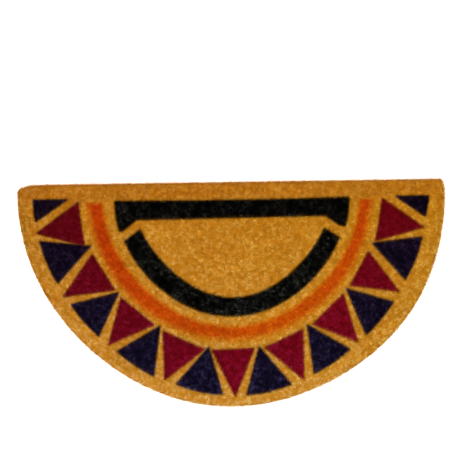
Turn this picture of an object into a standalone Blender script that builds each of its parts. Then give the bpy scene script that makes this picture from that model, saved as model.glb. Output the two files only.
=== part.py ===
"""Half-round coir doormat, lying flat on its underside.

One piece: a thick slab of coir pile standing on its own ground, cut by hand to a half
circle with a narrow straight strip behind it. X runs along the straight edge, +Y points
to the door, which the straight edge lies against, and +Z is up. The origin is under the
middle of the mat's box, on the surface it lies on. Lengths are in metres.
"""

import math

import bmesh
import bpy
from mathutils import Vector

# Plan of the mat: a half circle, and the strip between its centre line and the straight edge
ARC_RADIUS = 0.3755
STRIP_DEPTH = 0.0175
THICKNESS = 0.018
GROUND_THICKNESS = 0.004

# The round edge is cut by hand, so its radius swings a little along the half turn.
# waves: half waves from the right corner to the left one; swing: metres
UNEVEN_EDGE = (
    {"waves": 3, "swing": -0.0010},
    {"waves": 4, "swing": 0.0008},
    {"waves": 5, "swing": -0.0014},
    {"waves": 6, "swing": -0.0008},
)

# The two back corners. The right one is crisp, the left one is worn to a long round.
# side: +1 right, -1 left; reach: half width at the straight edge; along and down: the
# rounding's length on the straight edge and on the side
BACK_CORNERS = {
    "right": {"side": 1, "reach": 0.3705, "along": 0.0055, "down": 0.0060},
    "left": {"side": -1, "reach": 0.3780, "along": 0.0370, "down": 0.0135},
}

# Section through the rim, from the underside up. The pile leans out past the ground that
# it is rooted in, and its shorn top rounds over.
# height: above the floor; set_in: inside the widest outline
RIM_SECTION = (
    {"height": 0.0, "set_in": 0.0030},
    {"height": GROUND_THICKNESS, "set_in": 0.0030},
    {"height": 0.0085, "set_in": 0.0017},
    {"height": 0.0125, "set_in": 0.0005},
    {"height": 0.0150, "set_in": 0.0},
    {"height": 0.0166, "set_in": 0.0006},
    {"height": 0.0176, "set_in": 0.0019},
    {"height": THICKNESS, "set_in": 0.0040},
)

ARC_STEPS = 80
CORNER_STEPS = {"right": 4, "left": 7}
STRAIGHT_STEPS = 16

COIR_COLOUR = (0.56, 0.25, 0.04, 1.0)
COIR_ROUGHNESS = 0.9


def edge_radius(bearing):
    """Radius of the round edge at a bearing, in radians, from the right corner round the front."""
    swings = sum(row["swing"] * math.cos(row["waves"] * bearing) for row in UNEVEN_EDGE)
    return ARC_RADIUS + swings


def round_edge():
    """Points of the hand-cut half circle, from the right side round the front to the left."""
    for step in range(ARC_STEPS + 1):
        bearing = math.pi * step / ARC_STEPS
        radius = edge_radius(bearing)
        yield Vector((radius * math.cos(bearing), -radius * math.sin(bearing)))


def back_corner(name):
    """Points of a back corner's quarter ellipse, from the straight edge down to the side."""
    corner = BACK_CORNERS[name]
    steps = CORNER_STEPS[name]
    middle_x = corner["reach"] - corner["along"]
    middle_y = STRIP_DEPTH - corner["down"]
    for step in range(steps + 1):
        turn = math.pi / 2 * step / steps
        x = middle_x + corner["along"] * math.sin(turn)
        y = middle_y + corner["down"] * math.cos(turn)
        yield Vector((corner["side"] * x, y))


def straight_edge(start, end):
    """Points between the two corners' roundings, neither end included."""
    for step in range(1, STRAIGHT_STEPS):
        yield start.lerp(end, step / STRAIGHT_STEPS)


def mat_outline():
    """The widest outline, counter-clockwise from above, centred on its own box."""
    front = list(round_edge())
    right = list(back_corner("right"))
    left = list(back_corner("left"))
    straight = list(straight_edge(right[0], left[0]))
    # The arc runs clockwise, so it and the left corner are turned round
    points = front[::-1] + right[::-1] + straight + left
    low = Vector((min(p.x for p in points), min(p.y for p in points)))
    high = Vector((max(p.x for p in points), max(p.y for p in points)))
    return [p - (low + high) / 2 for p in points]


def set_in_outline(points, distance):
    """The outline moved inwards by a distance, square to itself."""
    moved = []
    for index, point in enumerate(points):
        along = points[(index + 1) % len(points)] - points[index - 1]
        inward = Vector((-along.y, along.x)).normalized()
        moved.append(point + inward * distance)
    return moved


def add_ring(bm, points, height):
    """A closed loop of edges at one height, and its vertices."""
    verts = [bm.verts.new((point.x, point.y, height)) for point in points]
    edges = [bm.edges.new((verts[i - 1], verts[i])) for i in range(len(verts))]
    return verts, edges


def coir_material():
    """Plain golden coir: dull and a little brown."""
    material = bpy.data.materials.new("coir")
    material.use_nodes = True
    shader = material.node_tree.nodes["Principled BSDF"]
    shader.inputs["Base Color"].default_value = COIR_COLOUR
    shader.inputs["Roughness"].default_value = COIR_ROUGHNESS
    shader.inputs["Metallic"].default_value = 0.0
    return material


def build_mat(collection):
    """The mat's one solid, skinned over the rings of its rim section."""
    outline = mat_outline()
    bm = bmesh.new()
    rings = [
        add_ring(bm, set_in_outline(outline, row["set_in"]), row["height"])
        for row in RIM_SECTION
    ]
    for (_, lower), (_, upper) in zip(rings, rings[1:]):
        bmesh.ops.bridge_loops(bm, edges=lower + upper)
    caps = [bm.faces.new(rings[0][0]), bm.faces.new(rings[-1][0])]
    bmesh.ops.triangulate(bm, faces=caps, ngon_method="BEAUTY")
    bmesh.ops.recalc_face_normals(bm, faces=bm.faces)
    mesh = bpy.data.meshes.new("mat")
    bm.to_mesh(mesh)
    bm.free()
    mesh.shade_smooth()
    mesh.set_sharp_from_angle(angle=math.radians(40))
    mesh.materials.append(coir_material())
    mat = bpy.data.objects.new("mat", mesh)
    collection.objects.link(mat)
    return mat


def main():
    for old in list(bpy.data.objects):
        bpy.data.objects.remove(old, do_unlink=True)
    doormat = bpy.data.collections.new("half_round_doormat")
    bpy.context.scene.collection.children.link(doormat)
    build_mat(doormat)


main()
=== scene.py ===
"""Half-round coir doormat, seen from straight above: dyed cut pile standing on a coir ground.

The pile is real strands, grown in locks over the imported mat's own outline. Each strand takes its
dye from its place in the pattern. Lengths are in metres and angles in degrees unless a comment
says otherwise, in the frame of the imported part: X along the straight edge, +Y towards the door,
+Z up.
"""

import collections
import functools
import math

import bpy
import numpy as np
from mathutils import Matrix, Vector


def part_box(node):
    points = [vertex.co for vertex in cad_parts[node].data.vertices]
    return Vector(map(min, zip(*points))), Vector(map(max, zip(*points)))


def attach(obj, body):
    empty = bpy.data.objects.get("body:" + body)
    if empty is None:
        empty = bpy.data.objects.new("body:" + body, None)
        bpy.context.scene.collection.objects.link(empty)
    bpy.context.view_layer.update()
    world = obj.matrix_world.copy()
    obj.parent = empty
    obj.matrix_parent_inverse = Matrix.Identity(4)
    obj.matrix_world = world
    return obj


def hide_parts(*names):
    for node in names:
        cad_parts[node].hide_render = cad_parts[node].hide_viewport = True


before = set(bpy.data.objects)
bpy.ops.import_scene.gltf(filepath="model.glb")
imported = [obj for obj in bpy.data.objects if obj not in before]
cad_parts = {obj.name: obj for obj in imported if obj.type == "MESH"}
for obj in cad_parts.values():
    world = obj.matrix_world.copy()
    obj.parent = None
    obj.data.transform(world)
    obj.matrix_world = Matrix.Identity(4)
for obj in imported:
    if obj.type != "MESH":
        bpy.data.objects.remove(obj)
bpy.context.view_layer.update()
MAT_LOW, MAT_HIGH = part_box("mat")

SEED = 41

# An even spread of half a unit either way
EITHER_WAY = (-0.5, 0.5)

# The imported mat's levels, and how far inside its widest outline the rim lies at each of them
PILE_TOP = MAT_HIGH.z
GROUND_HEIGHT = 0.004
WIDEST_HEIGHT = 0.015
RIM_HEIGHTS = (GROUND_HEIGHT, 0.0085, 0.0125, WIDEST_HEIGHT, 0.0166, 0.0176, PILE_TOP)
RIM_SET_IN = (0.0030, 0.0017, 0.0005, 0.0, 0.0006, 0.0019, 0.0040)
SHORN_FROM = RIM_HEIGHTS.index(WIDEST_HEIGHT)

# A packed point lies on a level within this tolerance, and its place is read to so many digits
LEVEL_TOLERANCE = 1e-5
PLACE_DIGITS = 6

# Middle of the mat's half circle
ARC_MIDDLE_X = 0.0024
STRIP_DEPTH = 0.0175
ARC_MIDDLE = np.array((ARC_MIDDLE_X, MAT_HIGH.y - STRIP_DEPTH))

# The dyed pattern, measured from its own middle. Its rings were stencilled by hand, so each
# has a middle of its own, and its radius swings a little. swing: share of the radius
PATTERN_SHIFT = (-0.0009, 0.0009)
PATTERN_MIDDLE = ARC_MIDDLE + np.array(PATTERN_SHIFT)
SWINGS_PER_TURN = 4
RINGS = {
    "arc_inner": {"middle": (0.0003, -0.0157), "radius": 0.1667, "swing": 0.0230},
    "arc_outer": {"middle": (-0.0017, -0.0174), "radius": 0.1998, "swing": 0.0115},
    "orange_inner": {"middle": (-0.0018, -0.0131), "radius": 0.2211, "swing": 0.0137},
    "orange_outer": {"middle": (-0.0042, -0.0141), "radius": 0.2448, "swing": 0.0050},
    "bar_ends": {"middle": (-0.0005, -0.0120), "radius": 0.2063, "swing": 0.0},
    "spokes": {"middle": (-0.0019, -0.0076), "radius": 1.0, "swing": 0.0147},
}

# The lines along the straight edge that end the triangles, the orange band and the bar. The bar's
# top edge bows up towards its ends, and both its edges climb to the right.
# tilts: rise for each metre to the right
TOP_LINE = -0.0142
ORANGE_TOP = -0.0172
BAR_TOP = -0.0148
BAR_BOTTOM = -0.0467
BAR_BOW = 0.0015
BAR_TILTS = {"top": 0.0025, "bottom": 0.0078}

# The orange was sprayed on freely: on its rings and its top line it is half as strong as in the
# middle, and it fades out over these widths. Near its upper ends its edges swerve outwards
STRENGTH_ON_EDGE = 0.5
ORANGE_FADES = {"inner": 0.0085, "outer": 0.0130, "top": 0.0070}
ORANGE_SWERVES = {"inner": 0.0018, "outer": 0.0042}
SWERVE_REACH = 0.028

# The other dyes crept a little way under their stencils' edges: a dye's strength at a place comes
# from the share of the spots round it that lie in the stencil. The pile takes dye readily, so
# with a take above 1 the strength is more than that share
EDGE_SPREAD = 0.0015
EDGE_SPOTS = 16
EDGE_TAKE = 2.3
GOLDEN_ANGLE = math.pi * (3 - math.sqrt(5))

# A strand takes a little more or less dye than its place, and below the faintest strength it
# counts as undyed
FADE_UNEVENNESS = 0.08
FAINTEST = 0.03

# The bar's feet and the arc's ends are cut along slanting lines, one pair on each side: from the
# notch to the foot, and from the arc's inner corner to its outer one. lowest: where the foot ends
SLANTS = (
    {"side": -1, "notch": (-0.1662, -0.0470), "foot": (-0.1955, -0.0694), "lowest": -0.0678,
     "arc_in": (-0.1605, -0.0629), "arc_out": (-0.1890, -0.0835)},
    {"side": 1, "notch": (0.1662, -0.0480), "foot": (0.1988, -0.0700), "lowest": -0.0636,
     "arc_in": (0.1622, -0.0669), "arc_out": (0.1875, -0.0824)},
)

# Triangles on the spokes. start: bearing of the first one; point and base: radii; bow: how far
# the base bulges out of the triangle, past its ring; top: the line that cuts them off
SPOKE_STEP = 20
CRIMSON = {
    "start": 10, "count": 9, "point": 0.3460, "base": 0.2656, "bow": 0.0026, "half_angle": 8.65,
    "top": TOP_LINE,
}
NAVY = {
    "start": 0, "count": 10, "point": 0.2605, "base": 0.3446, "bow": 0.0010, "half_angle": 7.12,
    "top": TOP_LINE,
}

# Slips of the hand, by bearing: the triangles that aren't like the others. narrow: degrees off
# its half angle; first, tip and last: degrees that a corner is off along the ring; out, and the
# same for one corner: metres further out; top: the line that cuts it off
SLIPS = {
    0: {"tip": 0.3, "tip_out": 0.0175, "last_out": -0.0055, "top": -0.0122},
    10: {"first": 0.2, "tip": 0.15, "last": -0.2, "out": -0.0030, "first_out": -0.0012,
         "tip_out": -0.0025, "last_out": 0.0016},
    20: {"tip": -0.6, "last": -0.4, "out": -0.0030, "first_out": -0.0012, "tip_out": 0.0020},
    30: {"first": 1.4, "tip": 0.5, "last": -0.7, "first_out": -0.0055, "tip_out": -0.0020},
    40: {"first": 1.05, "tip": -0.3, "last": -0.25, "tip_out": 0.0010, "last_out": 0.0016},
    50: {"first": 0.5, "tip": -0.1, "tip_out": 0.0005, "last_out": 0.0038},
    60: {"tip": 0.3, "last": -1.2, "first_out": 0.0010, "tip_out": 0.0028, "last_out": 0.0010},
    70: {"first": 1.05, "tip": -0.8, "last": -0.15, "out": 0.0020, "last_out": 0.0022},
    80: {"tip": 0.35, "last": -0.7, "out": 0.0013, "tip_out": 0.0028},
    90: {"narrow": 0.6, "tip": -0.4, "out": 0.0012, "tip_out": 0.0018, "last_out": 0.0025},
    100: {"first": 0.2, "tip": -0.8, "last": 0.05, "tip_out": 0.0028, "last_out": -0.0014},
    110: {"first": -1.15, "tip": 0.65, "last": -1, "first_out": 0.0036, "tip_out": -0.0018,
          "last_out": 0.0014},
    120: {"first": 0.95, "tip": -0.65, "first_out": 0.0008, "last_out": -0.0015},
    130: {"tip": 0.2, "last": -0.4, "tip_out": -0.0010, "last_out": 0.0014},
    140: {"first": 1.05, "tip": 0.1, "last": -0.35, "first_out": -0.0008, "tip_out": 0.0020,
          "last_out": -0.0012},
    150: {"first": 0.25, "tip": -0.2, "last": -0.4, "tip_out": 0.0020, "last_out": -0.0020},
    160: {"first": 1, "tip": 1.15, "last": 0.4, "out": -0.0025, "tip_out": 0.0012},
    170: {"first": 0.4, "tip": -0.1, "first_out": 0.0044, "tip_out": -0.0010, "last_out": -0.0018},
    180: {"first": 0.2, "tip": 0.35, "out": -0.0028, "tip_out": 0.0175, "top": -0.0095},
}

# Half angles from its spoke past which a place can't be in a triangle
NEARBY = 9

# The stretches of pile and their dyes. Rings split the undyed coir, to keep its pieces small
STRETCHES = {
    "back_margin": "natural", "front_margin": "natural", "between_triangles": "natural",
    "between_bands": "natural", "field": "natural", "crimson": "crimson", "navy": "navy",
    "green": "green", "orange": "orange",
}
DYES = ("green", "crimson", "navy", "orange")
FIELD_RADIUS = 0.1850
BANDS_RADIUS = 0.2580
TRIANGLES_RADIUS = 0.3440

# Locks: the pile stands in small bunches that lean and take the light together. Their ways are
# turned towards the rows of the ground, which run along X, by LOCK_ROWS radians at most. A
# strand's tone is partly its lock's and partly its own
LOCK_PITCH = 0.0043
STRANDS_IN_LOCK = 14
LOCK_LENGTH = 0.0058
LOCK_SPREAD = 0.00165
LOCK_ROWS = 0.35
LOCK_TONE = 1.15
OWN_TONE = 0.22
TONE_STEEPNESS = 1.2

# Cut strands stand up from the ground to the shorn top, each a little off its lock's lean and
# way. Near the rim they lean out, and are painted paler there: painted light against the rim's
# shade. WAY_SPREAD is in radians
CUT_WIDTH = (0.00050, 0.00095)
CUT_LEAN = (4, 36)
LEAN_SPREAD = 5
WAY_SPREAD = 0.35
ROOT_HEIGHT = 0.0036
SHEAR_UNEVENNESS = 0.0002
RIM_LEAN_DEPTH = 0.010
RIM_LEAN_OUT = 0.0030
RIM_PAINTED_LIGHT = 0.9
RIM_OVERHANG = 0.0008
ROOTED_INSIDE = 0.0015

# Bent strands rise from the ground and were trodden over, so their ends lie along the top. Where
# an end would cross a dye's edge it is cut to half, CROSSING_TRIMS times at most
BENT_COUNT = 33000
BENT_WIDTH = (0.00036, 0.00062)
BENT_LYING = (0.0035, 0.0105)
BENT_BACK = (0.0005, 0.0045)
BENT_KNEE_DROP = (0.0004, 0.0020)
BENT_END_DROP = (-0.0003, 0.0014)
BENT_OVERHANG = 0.0016
# BENT_TONE makes them lighter: painted light, as lying on the top they catch the light
BENT_TONE = 0.40
BENT_SPREAD = 0.36
BENT_LOCK_TONE = 0.95
CROSSING_TRIMS = 3

# The rim's strands show their sides, from the ground up to where they were cut, and some stand
# the other way up
RIM_PITCH = 0.00013
RIM_WIDTH = (0.00055, 0.00095)
RIM_ROOTS = (0.0004, 0.0034)
RIM_CUTS = (0.0050, 0.0170)
RIM_SIDEWAYS = 0.0014
RIM_SPLAY = 0.0008
RIM_SPLAY_MOST = 0.0036
RIM_ROOTED_LOW = 0.65


# Outline and pattern


def ring_of(height):
    """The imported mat's outline at one of its levels, counter-clockwise from -180 degrees."""
    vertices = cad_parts["mat"].data.vertices
    level = [v.co for v in vertices if abs(v.co.z - height) < LEVEL_TOLERANCE]
    points = {(round(place.x, PLACE_DIGITS), round(place.y, PLACE_DIGITS)) for place in level}
    return np.array(sorted(points, key=lambda p: math.atan2(p[1], p[0])))


def outward_ways(outline):
    """The way out, square to each edge of the outline."""
    along = unit(np.roll(outline, -1, axis=0) - outline)
    return np.stack((along[:, 1], -along[:, 0]), axis=1)


def depth_inside(points, outline):
    """How far each point lies inside a convex outline, and the way out to its nearest edge."""
    ways = outward_ways(outline)
    depth = (outline * ways).sum(1) - points @ ways.T
    nearest = depth.argmin(1)
    return depth[np.arange(len(points)), nearest], ways[nearest]


def on_ring(points, name):
    """Each point's radius, as on a true circle, and its bearing from +X round the front."""
    ring = RINGS[name]
    x, y = (points - ring["middle"]).T
    bearing = np.arctan2(-y, x)
    return np.hypot(x, y) / (1 + ring["swing"] * np.cos(SWINGS_PER_TURN * bearing)), bearing


def inside_ring(points, name):
    radius, _ = on_ring(points, name)
    return radius < RINGS[name]["radius"]


def past_line(points, start, end):
    """True for the points to the left of the line from start to end."""
    (ax, ay), (bx, by) = start, end
    return (bx - ax) * (points[:, 1] - ay) - (by - ay) * (points[:, 0] - ax) > 0


def in_triangles(points, shape):
    """The triangles that stand on one ring and point at another, one on every spoke of its kind."""
    radius, bearing = on_ring(points, "spokes")
    places = direction(bearing) * radius[:, None]
    outwards = 1 if shape["point"] > shape["base"] else -1
    inside = np.zeros(len(points), bool)
    for index in range(shape["count"]):
        middle = shape["start"] + SPOKE_STEP * index
        slip = collections.defaultdict(float, SLIPS.get(middle, {}))
        half_angle = shape["half_angle"] - slip["narrow"]
        base = shape["base"] + slip["out"]
        turns_and_reaches = (
            (slip["first"] - half_angle, base + slip["first_out"]),
            (slip["tip"], shape["point"] + slip["out"] + slip["tip_out"]),
            (slip["last"] + half_angle, base + slip["last_out"]),
        )
        corners = [direction(math.radians(middle + turn)) * reach for turn, reach in turns_and_reaches]
        corners = corners[::outwards]
        within = past_line(places, *corners[:2]) & past_line(places, *corners[1:])
        off = (np.degrees(bearing) - middle) / half_angle
        uneven_base = base + np.interp(off, (-1, 1), (slip["first_out"], slip["last_out"]))
        uneven_base -= outwards * shape["bow"] * (1 - off**2).clip(0)
        within &= (outwards * (radius - uneven_base) > 0) & (np.abs(off) < NEARBY)
        inside |= within & (points[:, 1] < (slip["top"] or shape["top"]))
    return inside


def in_green(points):
    """The black-green bar with its two feet, and the arc under it."""
    x, y = points.T
    bar = y - BAR_TILTS["bottom"] * x > BAR_BOTTOM
    arc = np.ones(len(points), bool)
    for slant in SLANTS:
        ends = [slant["notch"], slant["foot"]][:: slant["side"]]
        outside = slant["side"] * x > slant["side"] * slant["notch"][0]
        bar |= past_line(points, *ends) & outside & (y > slant["lowest"])
        ends = [slant["arc_in"], slant["arc_out"]][:: slant["side"]]
        arc &= ~past_line(points, *ends)
    bow = BAR_BOW * (x / RINGS["bar_ends"]["radius"]) ** 2
    bar &= inside_ring(points, "bar_ends") & (y - BAR_TILTS["top"] * x < BAR_TOP + bow)
    arc &= inside_ring(points, "arc_outer") & ~inside_ring(points, "arc_inner") & (y < 0)
    return bar | arc


def orange_strength(points):
    """How strong the orange dye is at each point, from 0 to 1. It fades out at the band's edges."""
    outer, _ = on_ring(points, "orange_outer")
    inner, _ = on_ring(points, "orange_inner")
    below_top = ORANGE_TOP - points[:, 1]
    swerve = (1 - below_top / SWERVE_REACH).clip(0, 1)
    depths = {
        "outer": RINGS["orange_outer"]["radius"] + ORANGE_SWERVES["outer"] * swerve - outer,
        "inner": inner - ORANGE_SWERVES["inner"] * swerve - RINGS["orange_inner"]["radius"],
        "top": below_top,
    }
    strengths = [STRENGTH_ON_EDGE + depth / ORANGE_FADES[edge] for edge, depth in depths.items()]
    return np.min(strengths, axis=0).clip(0, 1)


STENCILS = {
    "green": in_green,
    "crimson": functools.partial(in_triangles, shape=CRIMSON),
    "navy": functools.partial(in_triangles, shape=NAVY),
}


def stencils_over(places):
    """Which of the stencils each place lies in."""
    return np.array([inside(places - PATTERN_MIDDLE) for inside in STENCILS.values()])


def edge_spots():
    """Steps round a point, as far spread as the dye is at a stencil's edge."""
    order = np.arange(EDGE_SPOTS)
    reach = EDGE_SPREAD * np.sqrt(-2 * np.log(1 - (order + 0.5) / EDGE_SPOTS))
    return direction(order * GOLDEN_ANGLE) * reach[:, None]


def dyed_at(places):
    """The stretch of pile that each place belongs to, and how strong its dye is there."""
    points = places - PATTERN_MIDDLE
    radius, _ = on_ring(points, "spokes")
    stretch = np.full(len(points), "back_margin", dtype=object)
    below = points[:, 1] < TOP_LINE
    stretch[below & (radius >= TRIANGLES_RADIUS)] = "front_margin"
    stretch[below & (radius < TRIANGLES_RADIUS)] = "between_triangles"
    stretch[below & (radius < BANDS_RADIUS)] = "between_bands"
    stretch[below & (radius < FIELD_RADIUS)] = "field"
    strengths = {"orange": orange_strength(points)}
    for dye, inside in STENCILS.items():
        share = np.mean([inside(points + spot) for spot in edge_spots()], axis=0)
        strengths[dye] = 1 - (1 - share) ** EDGE_TAKE
    strongest = np.full(len(points), FAINTEST)
    for dye, strength in strengths.items():
        stretch[strength > strongest] = dye
        strongest = np.maximum(strongest, strength)
    return stretch, strongest


# Growing the strands


def unit(vectors):
    return vectors / np.linalg.norm(vectors, axis=-1, keepdims=True)


def direction(angle):
    return np.stack((np.cos(angle), np.sin(angle)), axis=-1)


def picked(table, keep):
    """The kept rows of a table of strands, which is an array for each of its values."""
    return {key: values[keep] for key, values in table.items()}


def shorn_height(depth):
    """Height of the shorn pile by how far a strand's end stands inside the widest outline."""
    return np.interp(depth, RIM_SET_IN[SHORN_FROM:], RIM_HEIGHTS[SHORN_FROM:])


def rim_share(depth):
    """1 at the mat's outline, down to 0 where the pile no longer leans out."""
    return 1 - depth.clip(0, RIM_LEAN_DEPTH) / RIM_LEAN_DEPTH


def tone_of(values):
    """Normal spread values brought to between 0, dark, and 1, light."""
    return 1 / (1 + np.exp(-TONE_STEEPNESS * values))


def take_dye(strands, places, rng):
    """Give each strand the stretch and the dye of its place, a little unevenly where the dye fades."""
    strands["stretch"], strength = dyed_at(places)
    uneven = rng.normal(0, FADE_UNEVENNESS, len(places)) * (strength < 1)
    strands["dye"] = (strength + uneven).clip(0, 1)
    return strands


def grow_locks(outline, rng):
    """Middles, lean directions and tones of the locks that the pile stands in."""
    low, high = outline.min(0), outline.max(0)
    across, along = (np.arange(low[axis], high[axis], LOCK_PITCH) for axis in (0, 1))
    middles = np.stack(np.meshgrid(across, along), -1).reshape(-1, 2)
    middles += rng.uniform(*EITHER_WAY, middles.shape) * LOCK_PITCH
    way = rng.uniform(0, 2 * math.pi, len(middles))
    return {
        "corner": low,
        "cells": (len(across), len(along)),
        "middle": middles,
        "way": way - LOCK_ROWS * np.sin(2 * way),
        "lean": rng.uniform(*CUT_LEAN, len(middles)),
        "tone": rng.normal(0, 1, len(middles)),
    }


def nearest_lock(locks, places):
    """The number of the lock whose cell each place lies in."""
    cell = ((places - locks["corner"]) / LOCK_PITCH).round().astype(int)
    column, row = cell.clip(0, np.array(locks["cells"]) - 1).T
    return row * locks["cells"][0] + column


def grow_cut_strands(outline, locks, rng):
    """Straight strands from the ground to the shorn top, leaning out at the rim."""
    lock = np.repeat(np.arange(len(locks["way"])), STRANDS_IN_LOCK)
    way = locks["way"][lock]
    along = rng.uniform(*EITHER_WAY, (len(lock), 1)) * LOCK_LENGTH
    across = rng.normal(0, LOCK_SPREAD, (len(lock), 1))
    tips = locks["middle"][lock] + direction(way) * along + direction(way + math.pi / 2) * across
    depth, way_out = depth_inside(tips, outline)
    inside = depth > -RIM_OVERHANG
    lock, way, tips, depth, way_out = (a[inside] for a in (lock, way, tips, depth, way_out))
    count = len(lock)
    lean = np.radians(locks["lean"][lock] + rng.normal(0, LEAN_SPREAD, count))
    way = way + rng.normal(0, WAY_SPREAD, count)
    rise = shorn_height(depth) - rng.exponential(SHEAR_UNEVENNESS, count)
    run = (rise - ROOT_HEIGHT) * np.tan(np.abs(lean))
    push = rim_share(depth)[:, None]
    # Painted light: strands near the rim are made paler, against the rim's shade
    tone = locks["tone"][lock] * LOCK_TONE + rim_share(depth) * RIM_PAINTED_LIGHT
    roots = tips - direction(way) * run[:, None] * (1 - push) - way_out * push * RIM_LEAN_OUT
    root_depth, _ = depth_inside(roots, outline)
    strands = {
        "root": np.column_stack((roots, np.full(count, ROOT_HEIGHT))),
        "tip": np.column_stack((tips, rise)),
        "width": rng.uniform(*CUT_WIDTH, count),
        "tone": tone_of(rng.normal(tone, OWN_TONE)),
    }
    return picked(take_dye(strands, tips, rng), root_depth > ROOTED_INSIDE)


def grow_bent_strands(outline, locks, rng):
    """Strands trodden over: up from the ground to a knee just under the top, then along the top.

    The dye was put on last, so none of them carries its colour over a sharp edge.
    """
    low, high = outline.min(0), outline.max(0)
    knees = rng.uniform(low, high, (BENT_COUNT, 2))
    way = direction(rng.uniform(0, 2 * math.pi, BENT_COUNT))
    ends = knees + way * rng.uniform(*BENT_LYING, (BENT_COUNT, 1))
    for _ in range(CROSSING_TRIMS):
        crossing = (stencils_over(ends) != stencils_over(knees)).any(axis=0)
        ends[crossing] = (ends[crossing] + knees[crossing]) / 2
    roots = knees - way * rng.uniform(*BENT_BACK, (BENT_COUNT, 1))
    lock = nearest_lock(locks, (knees + ends) / 2)
    knee_depth, _ = depth_inside(knees, outline)
    end_depth, _ = depth_inside(ends, outline)
    root_depth, _ = depth_inside(roots, outline)
    keep = (knee_depth > 0) & (end_depth > -BENT_OVERHANG) & (root_depth > RIM_SET_IN[0])
    # Painted light: strands near the rim are made paler, against the rim's shade
    tone = BENT_TONE + locks["tone"][lock] * BENT_LOCK_TONE + rim_share(knee_depth) * RIM_PAINTED_LIGHT
    knee_heights = shorn_height(knee_depth) - rng.uniform(*BENT_KNEE_DROP, BENT_COUNT)
    end_heights = shorn_height(end_depth) - rng.uniform(*BENT_END_DROP, BENT_COUNT)
    strands = {
        "root": np.column_stack((roots, np.full(BENT_COUNT, ROOT_HEIGHT))),
        "tip": np.column_stack((knees, knee_heights)),
        "end": np.column_stack((ends, end_heights)),
        "width": rng.uniform(*BENT_WIDTH, BENT_COUNT),
        "tone": tone_of(rng.normal(tone, BENT_SPREAD)),
    }
    return picked(take_dye(strands, (knees + ends) / 2, rng), keep)


def places_along(outline, pitch):
    """Places at an even pitch along the closed outline, and the way out at each."""
    following = np.roll(outline, -1, axis=0)
    lengths = np.linalg.norm(following - outline, axis=1)
    marks = np.concatenate(((0,), np.cumsum(lengths)))
    distance = np.arange(0, marks[-1], pitch)
    edge = np.searchsorted(marks, distance, side="right") - 1
    share = ((distance - marks[edge]) / lengths[edge])[:, None]
    return outline[edge] * (1 - share) + following[edge] * share, outward_ways(outline)[edge]


def grow_rim_strands(outline, rng):
    """The cut side of the pile: strands from the ground's edge to the rim's section."""
    places, way_out = places_along(outline, RIM_PITCH)
    count = len(places)
    along_rim = np.stack((-way_out[:, 1], way_out[:, 0]), axis=1)
    sideways = along_rim * rng.normal(0, RIM_SIDEWAYS, (count, 1))
    root_heights = rng.uniform(*RIM_ROOTS, count)
    cut_heights = rng.uniform(*RIM_CUTS, count)
    splay = rng.exponential(RIM_SPLAY, count).clip(0, RIM_SPLAY_MOST)
    cut_depth = np.interp(cut_heights, RIM_HEIGHTS, RIM_SET_IN) - splay
    roots = np.column_stack((places - way_out * RIM_SET_IN[0], root_heights))
    cuts = np.column_stack((places + sideways - way_out * cut_depth[:, None], cut_heights))
    rooted_low = (rng.uniform(0, 1, count) < RIM_ROOTED_LOW)[:, None]
    return {
        "root": np.where(rooted_low, roots, cuts),
        "tip": np.where(rooted_low, cuts, roots),
        "width": rng.uniform(*RIM_WIDTH, count),
        "tone": tone_of(rng.normal(0, 1, count)),
    }


# Strand meshes

# Both shapes start with the point of the root and three corners above it. A cut strand is closed
# there, and a bent one goes on to the point of its end. spots: each point's place in the strand's
# own square of the texture
CUT_SHAPE = {
    "faces": ((0, 2, 1), (0, 3, 2), (0, 1, 3), (1, 2, 3)),
    "spots": ((0.5, 0.08), (0.08, 0.75), (0.92, 0.75), (0.5, 0.95)),
}
BENT_SHAPE = {
    "faces": ((0, 2, 1), (0, 3, 2), (0, 1, 3), (1, 2, 4), (2, 3, 4), (3, 1, 4)),
    "spots": ((0.5, 0.06), (0.08, 0.5), (0.92, 0.5), (0.5, 0.42), (0.5, 0.94)),
}

# The corners stand round the strand as a triangle whose sides are the strand's width
CORNERS = 3
CORNER_REACH = 1 / math.sqrt(3)

# What each strand passes on to its material, and the name it has there
STRAND_VALUES = {"tone": "strand_tone", "dye": "dye_strength"}
REACH_VALUE = "strand_reach"


def strand_points(strands, rng):
    """The points of each strand: its root, three corners round its tip or knee, and any end."""
    count = len(strands["tip"])
    axis = unit(strands["tip"] - strands["root"])
    if "end" in strands:
        axis = unit(axis + unit(strands["end"] - strands["tip"]))
    side = unit(np.cross(axis, rng.normal(0, 1, (count, 3))))
    other = np.cross(axis, side)
    reach = strands["width"][:, None] * CORNER_REACH
    points = [strands["root"]]
    for corner in range(CORNERS):
        turn = 2 * math.pi * corner / CORNERS
        points.append(strands["tip"] + reach * (math.cos(turn) * side + math.sin(turn) * other))
    if "end" in strands:
        points.append(strands["end"])
    return np.stack(points, axis=1)


def add_values(mesh, name, values):
    layer = mesh.attributes.new(name, "FLOAT", "POINT")
    layer.data.foreach_set("value", values.astype(np.float32))


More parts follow.
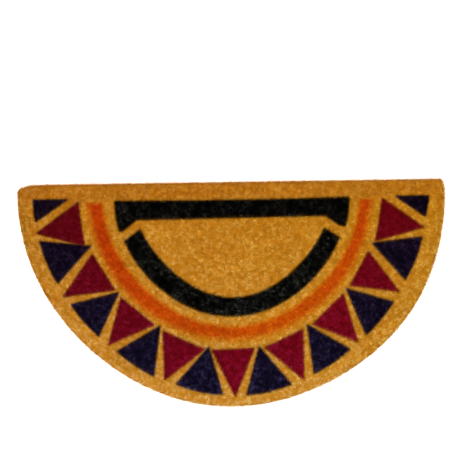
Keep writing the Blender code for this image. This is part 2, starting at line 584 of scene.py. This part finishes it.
def strand_mesh(name, kinds, rng):
    """One mesh of closed strands. kinds: pairs of a strand shape and the strands that have it."""
    total = sum(len(strands["tip"]) for _, strands in kinds)
    squares = math.ceil(math.sqrt(total))
    points = []
    faces = []
    spots = []
    values = collections.defaultdict(list)
    first_point = 0
    first_strand = 0
    for shape, strands in kinds:
        count = len(strands["tip"])
        size = len(shape["spots"])
        order = np.arange(count)
        points.append(strand_points(strands, rng).reshape(-1, 3))
        starts = first_point + order[:, None, None] * size
        faces.append((starts + np.array(shape["faces"])).reshape(-1, 3))
        row, column = np.divmod(first_strand + order, squares)
        square = np.stack((column, row), -1)
        spots.append(((square[:, None] + np.array(shape["spots"])) / squares).reshape(-1, 2))
        for title in STRAND_VALUES:
            if title in strands:
                values[title].append(np.repeat(strands[title], size))
        first_point += count * size
        first_strand += count
    points, faces, spots = (np.concatenate(part) for part in (points, faces, spots))
    mesh = bpy.data.meshes.new(name)
    mesh.from_pydata(points, [], faces)
    layer = mesh.uv_layers.new(name="OFBake")
    layer.uv.foreach_set("vector", spots[faces.reshape(-1)].astype(np.float32).ravel())
    for title, parts in values.items():
        add_values(mesh, STRAND_VALUES[title], np.concatenate(parts))
    reach = (points[:, 2] - GROUND_HEIGHT) / (PILE_TOP - GROUND_HEIGHT)
    add_values(mesh, REACH_VALUE, reach.clip(0, 1))
    mesh.shade_smooth()
    return mesh


def add_piece(name, mesh, material, slot):
    mesh.materials.append(material)
    piece = bpy.data.objects.new(name, mesh)
    bpy.context.scene.collection.objects.link(piece)
    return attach(piece, "root")


# Shader groups

COLOUR = "NodeSocketColor"
VALUE = "NodeSocketFloat"
UNCHANGED = (1.0, 1.0, 1.0)
WHITE = (1, 1, 1, 1)

# Most of a noise's values lie between these
NOISE_RANGE = (0.3, 0.7)

# Painted shade: the darker strip along the straight edge, by the distance from it
STRIP_FULL = 0.018
STRIP_FADES = 0.048

# Fineness of the patches of wear and of the specks of tint
PATCH_DETAIL = 2
TINT_DETAIL = 1

# Grain of a single fibre: its patches for each metre, and how deep they are
FIBRE_GRAIN = 2500
FIBRE_DETAIL = 2
FIBRE_RELIEF = 0.00006

# A strand's tone at which it has its dye's body colour, the part of its reach over which the
# root's painted shade fades, and how rough dark and light strands are
BODY_TONE = 0.5
ROOT_FADES = (0.2, 0.75)
DARK_ROUGHNESS = 0.95
LIGHT_ROUGHNESS = 0.78

# Stitches of the woven ground: two shades of yarn and the dark gaps between them. The pattern has
# its own unit, STITCH_UNITS to a metre. The gap is in that unit, and its softness goes up to 1
STITCH_UNITS = 100
STITCH_LENGTH = 0.013
STITCH_ROW = 0.0075
STITCH_GAP = 0.11
STITCH_SOFTNESS = 1.0
STITCH_RELIEF = 0.0012
STITCH_COLOURS = {"Color1": UNCHANGED, "Color2": (0.78, 0.74, 0.68), "Mortar": (0.52, 0.45, 0.37)}

# Fibres of the ground's yarn: their number for each metre, drawn out along X, and how dark and
# how high they are beside a stitch
YARN_FIBRES = 260
YARN_DETAIL = 3
YARN_STRETCH = (1.0, 5.0, 5.0)
YARN_DULLNESS = 0.6
YARN_HEIGHT = 0.5
GROUND_ROUGHNESS = 0.92


def opaque(colour):
    return (*colour, 1)


def new_group(name, inputs, outputs):
    """An empty shader group with named sockets, the values it is given and its results' sockets."""
    group = bpy.data.node_groups.new(name, "ShaderNodeTree")
    for title, kind in inputs.items():
        group.interface.new_socket(title, in_out="INPUT", socket_type=kind)
    for title, kind in outputs.items():
        group.interface.new_socket(title, in_out="OUTPUT", socket_type=kind)
    given = group.nodes.new("NodeGroupInput").outputs
    result = group.nodes.new("NodeGroupOutput").inputs
    return group, given, result


def feed(group, socket, source):
    """Link a source socket to a socket, or set the socket to a plain value."""
    if isinstance(source, bpy.types.NodeSocket):
        group.links.new(source, socket)
    else:
        socket.default_value = source


def mix(group, factor, low, high, blend="MIX"):
    """The colour between low and high, or low times high for the blend MULTIPLY."""
    node = group.nodes.new("ShaderNodeMix")
    node.data_type = "RGBA"
    node.blend_type = blend
    sockets = {socket.identifier: socket for socket in node.inputs}
    feed(group, sockets["Factor_Float"], factor)
    feed(group, sockets["A_Color"], low)
    feed(group, sockets["B_Color"], high)
    return next(socket for socket in node.outputs if socket.identifier == "Result_Color")


def shaded(group, colour, shade):
    """The colour times the shade."""
    return mix(group, 1.0, colour, shade, "MULTIPLY")


def spread(group, value, low, high, to_low=0.0, to_high=1.0):
    """The value taken from between low and high to between to_low and to_high, and held there."""
    node = group.nodes.new("ShaderNodeMapRange")
    sources = {"Value": value, "From Min": low, "From Max": high, "To Min": to_low, "To Max": to_high}
    for title, source in sources.items():
        feed(group, node.inputs[title], source)
    return node.outputs["Result"]


def maths(group, operation, *values):
    node = group.nodes.new("ShaderNodeMath")
    node.operation = operation
    for socket, value in zip(node.inputs, values):
        feed(group, socket, value)
    return node.outputs["Value"]


def object_place(group):
    return group.nodes.new("ShaderNodeTexCoord").outputs["Object"]


def axes_of(group, place):
    """The place's X, Y and Z, by name."""
    split = group.nodes.new("ShaderNodeSeparateXYZ")
    group.links.new(place, split.inputs["Vector"])
    return split.outputs


def noise(group, place, scale, detail):
    node = group.nodes.new("ShaderNodeTexNoise")
    feed(group, node.inputs["Scale"], scale)
    feed(group, node.inputs["Detail"], detail)
    group.links.new(place, node.inputs["Vector"])
    return node.outputs["Fac"]


def stretched(group, place, scale):
    """The place with each axis scaled, so a noise read there is drawn out along the small ones."""
    node = group.nodes.new("ShaderNodeMapping")
    node.inputs["Scale"].default_value = scale
    group.links.new(place, node.inputs["Vector"])
    return node.outputs["Vector"]


def strand_group():
    """A strand's colour by its own tone, with painted shade darker towards the ground, and its
    roughness.
    """
    group, given, result = new_group(
        "coir strand",
        {"Tone": VALUE, "Reach": VALUE, "Dark": COLOUR, "Body": COLOUR, "Light": COLOUR, "Root": COLOUR},
        {"Colour": COLOUR, "Roughness": VALUE, "Height": VALUE})
    lower = mix(group, spread(group, given["Tone"], 0.0, BODY_TONE), given["Dark"], given["Body"])
    whole = mix(group, spread(group, given["Tone"], BODY_TONE, 1.0), lower, given["Light"])
    colour = mix(group, spread(group, given["Reach"], *ROOT_FADES), given["Root"], whole)
    feed(group, result["Colour"], colour)
    roughness = spread(group, given["Tone"], 0.0, 1.0, DARK_ROUGHNESS, LIGHT_ROUGHNESS)
    feed(group, result["Roughness"], roughness)
    feed(group, result["Height"], noise(group, object_place(group), FIBRE_GRAIN, FIBRE_DETAIL))
    return group


def painted_light_and_patches_group():
    """Painted light and shade from the door to the front, slow change of colour from side to side, and
    soft patches.
    """
    group, given, result = new_group(
        "painted light and patches",
        {"Colour": COLOUR, "By The Door": COLOUR, "At The Front": COLOUR, "Door Strip": COLOUR,
         "On The Left": COLOUR, "On The Right": COLOUR, "Redder": COLOUR, "Yellower": COLOUR,
         "Tint Size": VALUE, "Patch Size": VALUE, "Patches": VALUE},
        {"Colour": COLOUR})
    place = object_place(group)
    axes = axes_of(group, place)
    to_right = spread(group, axes["X"], MAT_LOW.x, MAT_HIGH.x)
    to_door = spread(group, axes["Y"], MAT_LOW.y, MAT_HIGH.y)
    to_strip = spread(group, axes["Y"], MAT_HIGH.y - STRIP_FADES, MAT_HIGH.y - STRIP_FULL)
    patch = noise(group, place, maths(group, "DIVIDE", 1.0, given["Patch Size"]), PATCH_DETAIL)
    darkest = maths(group, "SUBTRACT", 1.0, given["Patches"])
    lightest = maths(group, "ADD", 1.0, given["Patches"])
    tint = noise(group, place, maths(group, "DIVIDE", 1.0, given["Tint Size"]), TINT_DETAIL)
    # Painted light from the front, lighter there and darker by the door, and painted shade in the strip
    # along the straight edge
    shades = (
        mix(group, to_door, given["At The Front"], given["By The Door"]),
        mix(group, to_right, given["On The Left"], given["On The Right"]),
        mix(group, to_strip, opaque(UNCHANGED), given["Door Strip"]),
        mix(group, spread(group, tint, *NOISE_RANGE), given["Redder"], given["Yellower"]),
        spread(group, patch, *NOISE_RANGE, darkest, lightest),
    )
    colour = given["Colour"]
    for shade in shades:
        colour = shaded(group, colour, shade)
    feed(group, result["Colour"], colour)
    return group


def weave_group():
    """Coir ground: fibres drawn out along X, and woven stitches in rows where it is bare."""
    group, given, result = new_group(
        "woven ground",
        {"Yarn": COLOUR, "Dullness": VALUE},
        {"Colour": COLOUR, "Height": VALUE})
    place = object_place(group)
    bare = spread(group, axes_of(group, place)["Z"], GROUND_HEIGHT, 0.0)
    stitches = group.nodes.new("ShaderNodeTexBrick")
    for title, colour in STITCH_COLOURS.items():
        stitches.inputs[title].default_value = opaque(colour)
    stitches.inputs["Scale"].default_value = STITCH_UNITS
    stitches.inputs["Mortar Size"].default_value = STITCH_GAP
    stitches.inputs["Mortar Smooth"].default_value = STITCH_SOFTNESS
    stitches.inputs["Brick Width"].default_value = STITCH_LENGTH * STITCH_UNITS
    stitches.inputs["Row Height"].default_value = STITCH_ROW * STITCH_UNITS
    group.links.new(place, stitches.inputs["Vector"])
    yarn = mix(group, bare, given["Yarn"], stitches.outputs["Color"], "MULTIPLY")
    fibres = noise(group, stretched(group, place, YARN_STRETCH), YARN_FIBRES, YARN_DETAIL)
    fibre_shade = spread(group, fibres, *NOISE_RANGE, given["Dullness"], 1.0)
    feed(group, result["Colour"], shaded(group, yarn, fibre_shade))
    raised = maths(group, "MULTIPLY", fibres, YARN_HEIGHT)
    sunk = maths(group, "MULTIPLY", stitches.outputs["Fac"], bare)
    feed(group, result["Height"], maths(group, "SUBTRACT", raised, sunk))
    return group


# Materials

# Each dye's strand colours, by a strand's tone, and the colour at its root, a painted shade for the
# depth of the pile
TONES = {
    "rim": {
        "Dark": (0.44, 0.200, 0.0420), "Body": (0.55, 0.295, 0.0800),
        "Light": (0.70, 0.440, 0.1600), "Root": (0.41, 0.185, 0.0380),
    },
    "natural": {
        "Dark": (0.360, 0.124, 0.0042), "Body": (0.478, 0.190, 0.0080),
        "Light": (0.675, 0.383, 0.0860), "Root": (0.469, 0.182, 0.0076),
    },
    "crimson": {
        "Dark": (0.098, 0.0004, 0.002), "Body": (0.167, 0.0007, 0.007),
        "Light": (0.275, 0.0050, 0.029), "Root": (0.097, 0.0004, 0.003),
    },
    "navy": {
        "Dark": (0.0012, 0.0008, 0.0038), "Body": (0.0047, 0.0021, 0.0118),
        "Light": (0.0265, 0.0165, 0.0450), "Root": (0.0021, 0.0012, 0.0050),
    },
    "green": {
        "Dark": (0.0002, 0.0002, 0.0002), "Body": (0.0006, 0.0006, 0.0004),
        "Light": (0.0240, 0.0248, 0.0205), "Root": (0.0004, 0.0004, 0.0003),
    },
    "orange": {
        "Dark": (0.355, 0.034, 0.0003), "Body": (0.455, 0.056, 0.0004),
        "Light": (0.560, 0.100, 0.0018), "Root": (0.424, 0.045, 0.0003),
    },
}

# Painted light and shade over the mat, and a change from side to side: shades that each dye's
# colour is multiplied by. By The Door and At The Front paint the light falling from the front,
# lighter and hazier there and darker by the door. Door Strip paints shade along the straight edge
PAINTED_LIGHT_AND_SIDE_INPUTS = ("By The Door", "At The Front", "On The Left", "On The Right", "Door Strip")
PAINTED_LIGHT_AND_SIDE_SHADES = {
    # The rim's By The Door lifts its back edge with painted light, against its shade
    "rim": {"By The Door": (1.46, 1.46, 1.40), "At The Front": (1.05, 1.05, 1.05)},
    "natural": {
        "By The Door": (1.01, 1.01, 0.46), "At The Front": (1.02, 1.24, 1.74),
        "On The Left": (0.97, 0.935, 1.15), "On The Right": (1.04, 1.07, 0.86),
        "Door Strip": (0.87, 0.75, 0.90),
    },
    "crimson": {
        "By The Door": (0.75, 0.75, 0.42), "At The Front": (1.15, 1.25, 1.50),
        "On The Left": (0.78, 1.0, 1.0), "On The Right": (1.15, 1.0, 1.0),
    },
    "navy": {"By The Door": (0.96, 0.41, 0.46), "At The Front": (1.25, 1.71, 1.74)},
    "green": {"By The Door": (0.48, 0.40, 0.36), "At The Front": (1.80, 1.90, 1.90)},
    "orange": {
        "By The Door": (1.05, 0.84, 0.58), "At The Front": (1.07, 1.66, 1.00),
        "On The Left": (0.86, 0.56, 1.00), "On The Right": (1.11, 1.42, 1.00),
    },
}

# What the faintest dye leaves of the undyed coir's colour
UNDER_DYES = {"orange": (1.06, 1.0, 0.5)}

# Soft patches: how far across they are, and how much darker and lighter they make each dye
PATCH_SIZES = {"navy": 0.011, "green": 0.018}
PATCH_SIZE = 0.060
PATCHES = {"rim": 0.06, "natural": 0.06, "crimson": 0.10, "navy": 0.45, "green": 0.95, "orange": 0.08}

# Specks of tint over all the pile
TINT_SIZE = 0.014
REDDER = (1.015, 0.965, 0.92)
YELLOWER = (0.985, 1.035, 1.06)

# How much each dye's strands shine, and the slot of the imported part's material they stand for
SHINES = {"rim": 0.03, "natural": 0.06, "crimson": 0.03, "navy": 0.01, "green": 0.01, "orange": 0.04}
SLOTS = {
    "rim": "coir_natural", "natural": "coir_natural", "crimson": "coir_crimson", "navy": "coir_navy",
    "green": "coir_black_green", "orange": "coir_orange",
}

# Bare yarn under the mat, and how much lighter than a strand's root the dyed ground on top is:
# painted light that lifts the shade in the gaps between the strands
UNDERSIDE = (0.46, 0.22, 0.050)
GROUND_PAINTED_LIGHT = 1.15
GROUND_VALUE = "ground_dye"


def add_node(tree, group):
    node = tree.nodes.new("ShaderNodeGroup")
    node.node_tree = group
    return node


def attribute(tree, name, output):
    node = tree.nodes.new("ShaderNodeAttribute")
    node.attribute_name = name
    return node.outputs[output]


def dyed_coir(tree, groups, dye):
    """The strand's own tones in one dye, and their colour under the mat's painted light and shade and
    slow changes.
    """
    strand = add_node(tree, groups["strand"])
    for title, colour in TONES[dye].items():
        strand.inputs[title].default_value = opaque(colour)
    tree.links.new(attribute(tree, STRAND_VALUES["tone"], "Fac"), strand.inputs["Tone"])
    tree.links.new(attribute(tree, REACH_VALUE, "Fac"), strand.inputs["Reach"])
    light_and_patches = add_node(tree, groups["light_and_patches"])
    for title in PAINTED_LIGHT_AND_SIDE_INPUTS:
        light_and_patches.inputs[title].default_value = opaque(PAINTED_LIGHT_AND_SIDE_SHADES[dye].get(title, UNCHANGED))
    light_and_patches.inputs["Patch Size"].default_value = PATCH_SIZES.get(dye, PATCH_SIZE)
    light_and_patches.inputs["Patches"].default_value = PATCHES[dye]
    light_and_patches.inputs["Tint Size"].default_value = TINT_SIZE
    light_and_patches.inputs["Redder"].default_value = opaque(REDDER)
    light_and_patches.inputs["Yellower"].default_value = opaque(YELLOWER)
    tree.links.new(strand.outputs["Colour"], light_and_patches.inputs["Colour"])
    return strand, light_and_patches.outputs["Colour"]


def coir_material(name, groups, dye):
    """Pile dyed in one colour. It fades out to natural coir where the dye is weak."""
    material = bpy.data.materials.new(name)
    material.use_nodes = True
    tree = material.node_tree
    strand, colour = dyed_coir(tree, groups, dye)
    if dye in DYES:
        _, natural = dyed_coir(tree, groups, "natural")
        natural = shaded(tree, natural, opaque(UNDER_DYES.get(dye, UNCHANGED)))
        colour = mix(tree, attribute(tree, STRAND_VALUES["dye"], "Fac"), natural, colour)
    shader = tree.nodes["Principled BSDF"]
    shader.inputs["Specular IOR Level"].default_value = SHINES[dye]
    bump = tree.nodes.new("ShaderNodeBump")
    bump.inputs["Distance"].default_value = FIBRE_RELIEF
    tree.links.new(strand.outputs["Height"], bump.inputs["Height"])
    tree.links.new(bump.outputs["Normal"], shader.inputs["Normal"])
    tree.links.new(strand.outputs["Roughness"], shader.inputs["Roughness"])
    tree.links.new(colour, shader.inputs["Base Color"])
    return material


def ground_material(groups):
    """The woven ground: bare coir underneath, and the pile's dye on top."""
    material = bpy.data.materials.new("woven coir ground")
    material.use_nodes = True
    tree = material.node_tree
    weave = add_node(tree, groups["weave"])
    weave.inputs["Dullness"].default_value = YARN_DULLNESS
    tree.links.new(attribute(tree, GROUND_VALUE, "Color"), weave.inputs["Yarn"])
    bump = tree.nodes.new("ShaderNodeBump")
    bump.inputs["Distance"].default_value = STITCH_RELIEF
    tree.links.new(weave.outputs["Height"], bump.inputs["Height"])
    shader = tree.nodes["Principled BSDF"]
    shader.inputs["Roughness"].default_value = GROUND_ROUGHNESS
    shader.inputs["Specular IOR Level"].default_value = SHINES["natural"]
    tree.links.new(weave.outputs["Colour"], shader.inputs["Base Color"])
    tree.links.new(bump.outputs["Normal"], shader.inputs["Normal"])
    return material


def build_pile(outline, groups):
    """The pile, one piece for each dyed or natural stretch, and the cut strands of the rim."""
    rng = np.random.default_rng(SEED)
    locks = grow_locks(outline, rng)
    cut = grow_cut_strands(outline, locks, rng)
    bent = grow_bent_strands(outline, locks, rng)
    rim = grow_rim_strands(outline, rng)
    materials = {dye: coir_material(f"coir {dye}", groups, dye) for dye in TONES}
    pieces = []
    for stretch, dye in STRETCHES.items():
        own_cut = picked(cut, cut["stretch"] == stretch)
        own_bent = picked(bent, bent["stretch"] == stretch)
        name = f"pile_{stretch}"
        mesh = strand_mesh(name, ((CUT_SHAPE, own_cut), (BENT_SHAPE, own_bent)), rng)
        pieces.append(add_piece(name, mesh, materials[dye], SLOTS[dye]))
    mesh = strand_mesh("pile_rim", ((CUT_SHAPE, rim),), rng)
    pieces.append(add_piece("pile_rim", mesh, materials["rim"], SLOTS["rim"]))
    return pieces


# Ground

# The ground and the dense lower pile in it are one slab: a grid over its brim, sides that lean in
# to the foot, and the flat underside. Set in: inside the widest outline. The grid's columns crowd
# towards both ends, where the outline turns
GROUND_COLUMNS = 250
GROUND_ROWS = 110
END_CROWDING = 0.35
BRIM_SET_IN = 0.0016
FOOT_SET_IN = 0.0035
BRIM_HEIGHT = 0.0110
GROUND_CROWN = 0.0155
GROUND_LUMPS = 0.0005
GROUND_ROUNDING = 0.005
CUT_OFF_ENDS = 0.0003
SHARP_ANGLE = 40


def set_in_outline(outline, distance):
    """The outline moved inwards by a distance, square to itself."""
    ways = outward_ways(outline)
    return outline - unit(ways + np.roll(ways, 1, axis=0)) * distance


def column_ends(outline, x):
    """Where a line square to the straight edge enters and leaves a convex outline."""
    following = np.roll(outline, -1, axis=0)
    crossings = []
    for (ax, ay), (bx, by) in zip(outline, following):
        if min(ax, bx) <= x < max(ax, bx):
            crossings.append(ay + (by - ay) * (x - ax) / (bx - ax))
    return min(crossings), max(crossings)


def ground_grid(brim):
    """Places in columns across the mat, each from the brim's front edge to its back edge."""
    steps = np.linspace(-1, 1, GROUND_COLUMNS + 1)
    crowded = (1 - END_CROWDING) * steps + END_CROWDING * np.sin(steps * math.pi / 2)
    start_x, end_x = brim[:, 0].min() + CUT_OFF_ENDS, brim[:, 0].max() - CUT_OFF_ENDS
    columns = (start_x + end_x) / 2 + crowded * (end_x - start_x) / 2
    shares = np.linspace(0, 1, GROUND_ROWS + 1)
    places = []
    for x in columns:
        start, end = column_ends(brim, x)
        places += [(x, start + (end - start) * share) for share in shares]
    return np.array(places)


def ground_colours(places, underside_count):
    """The dye on the ground's top, and bare yarn for so many points of the underside."""
    stretches, strength = dyed_at(places)
    dyed = np.array([TONES[STRETCHES[stretch]]["Root"] for stretch in stretches])
    undyed = np.array(TONES["natural"]["Root"])
    # The top takes the roots' painted shade, lifted by painted light
    top = (undyed + (dyed - undyed) * strength[:, None]) * GROUND_PAINTED_LIGHT
    colours = np.concatenate((top, np.tile(UNDERSIDE, (underside_count, 1))))
    return np.column_stack((colours, np.ones(len(colours))))


def build_ground(outline, groups):
    """The ground that the pile stands in, as a closed slab."""
    rng = np.random.default_rng(SEED + 1)
    brim = set_in_outline(outline, BRIM_SET_IN)
    places = ground_grid(brim)
    depth, way_out = depth_inside(places, brim)
    crown = np.sin((depth / GROUND_ROUNDING).clip(0, 1) * math.pi / 2)
    lumps = rng.normal(0, GROUND_LUMPS, len(places)) * crown
    top = np.column_stack((places, BRIM_HEIGHT + (GROUND_CROWN - BRIM_HEIGHT) * crown + lumps))
    order = np.arange(len(places)).reshape(GROUND_COLUMNS + 1, GROUND_ROWS + 1)
    quads = np.stack((order[:-1, :-1], order[1:, :-1], order[1:, 1:], order[:-1, 1:]), -1)
    rim = np.concatenate((order[:-1, 0], order[-1, :-1], order[:0:-1, -1], order[0, :0:-1]))
    foot = places[rim] - way_out[rim] * (FOOT_SET_IN - BRIM_SET_IN)
    bottom = np.column_stack((foot, np.zeros(len(rim))))
    below = len(top) + np.arange(len(rim))
    sides = np.stack((rim, below, np.roll(below, -1), np.roll(rim, -1)), -1)
    faces = [*quads.reshape(-1, 4).tolist(), *sides.tolist(), below[::-1].tolist()]
    mesh = bpy.data.meshes.new("coir_ground")
    mesh.from_pydata(np.concatenate((top, bottom)), [], faces)
    layer = mesh.attributes.new(GROUND_VALUE, "FLOAT_COLOR", "POINT")
    colours = ground_colours(places, len(bottom))
    layer.data.foreach_set("color", colours.astype(np.float32).ravel())
    mesh.shade_smooth()
    mesh.set_sharp_from_angle(angle=math.radians(SHARP_ANGLE))
    ground = add_piece("coir_ground", mesh, ground_material(groups), SLOTS["natural"])
    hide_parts("mat")
    return ground


# Stage

# The photo's frame: its width on the mat, its middle from the middle of the mat's half circle, and
# its turn in degrees. Lens and sensor are in millimetres
PHOTO_WIDTH = 0.824
PHOTO_MIDDLE = (0.0034, -0.0758)
PHOTO_ROLL = -0.88
LENS = 90
SENSOR = 36

# The floor lies a hair under the mat, so that the two never coincide
FLOOR_SIZE = 12
FLOOR_DROP = 0.0002
FLOOR_COLOUR = (0.93, 0.93, 0.93, 1)
FLOOR_ROUGHNESS = 0.9
FLOOR_GLOW = 0.35

# power: watts
LIGHTS = (
    {"name": "key", "place": (-0.35, -1.25, 1.45), "size": 1.0, "power": 36},
    {"name": "fill", "place": (0.9, 0.8, 1.9), "size": 1.6, "power": 8},
)
WORLD_STRENGTH = 1.32


def make_camera():
    """The photo's camera, straight above the mat."""
    data = bpy.data.cameras.new("camera")
    data.lens = LENS
    data.sensor_width = SENSOR
    camera = bpy.data.objects.new("camera", data)
    bpy.context.scene.collection.objects.link(camera)
    x, y = ARC_MIDDLE + np.array(PHOTO_MIDDLE)
    camera.location = (x, y, PILE_TOP + PHOTO_WIDTH * LENS / SENSOR)
    camera.rotation_euler = (0, 0, math.radians(PHOTO_ROLL))
    bpy.context.scene.camera = camera


def make_floor():
    """A white floor that glows a little, as a light table does. It isn't seen from below."""
    mesh = bpy.data.meshes.new("floor")
    half = FLOOR_SIZE / 2
    corners = [(-half, -half, 0), (half, -half, 0), (half, half, 0), (-half, half, 0)]
    mesh.from_pydata(corners, [], [(0, 1, 2, 3)])
    material = bpy.data.materials.new("floor")
    material.use_nodes = True
    tree = material.node_tree
    shader = tree.nodes["Principled BSDF"]
    from_below = tree.nodes.new("ShaderNodeNewGeometry").outputs["Backfacing"]
    feed(tree, shader.inputs["Alpha"], maths(tree, "SUBTRACT", 1.0, from_below))
    shader.inputs["Base Color"].default_value = FLOOR_COLOUR
    shader.inputs["Roughness"].default_value = FLOOR_ROUGHNESS
    shader.inputs["Emission Color"].default_value = WHITE
    shader.inputs["Emission Strength"].default_value = FLOOR_GLOW
    mesh.materials.append(material)
    floor = bpy.data.objects.new("floor", mesh)
    floor.location.z = -FLOOR_DROP
    bpy.context.scene.collection.objects.link(floor)


def make_lights():
    """Soft light from all round, with the key in front of the mat."""
    for row in LIGHTS:
        data = bpy.data.lights.new(row["name"], "AREA")
        data.size = row["size"]
        data.energy = row["power"]
        light = bpy.data.objects.new(row["name"], data)
        light.location = row["place"]
        towards_mat = -light.location
        light.rotation_euler = towards_mat.to_track_quat("-Z", "Y").to_euler()
        bpy.context.scene.collection.objects.link(light)
    world = bpy.data.worlds.new("studio")
    world.use_nodes = True
    sky = world.node_tree.nodes["Background"]
    sky.inputs["Color"].default_value = WHITE
    sky.inputs["Strength"].default_value = WORLD_STRENGTH
    bpy.context.scene.world = world
    bpy.context.scene.view_settings.view_transform = "Standard"


# The whole scene

groups = {"strand": strand_group(), "light_and_patches": painted_light_and_patches_group(), "weave": weave_group()}
pieces = build_pile(ring_of(WIDEST_HEIGHT), groups)
ground = build_ground(ring_of(WIDEST_HEIGHT), groups)
make_floor()
make_lights()
make_camera()
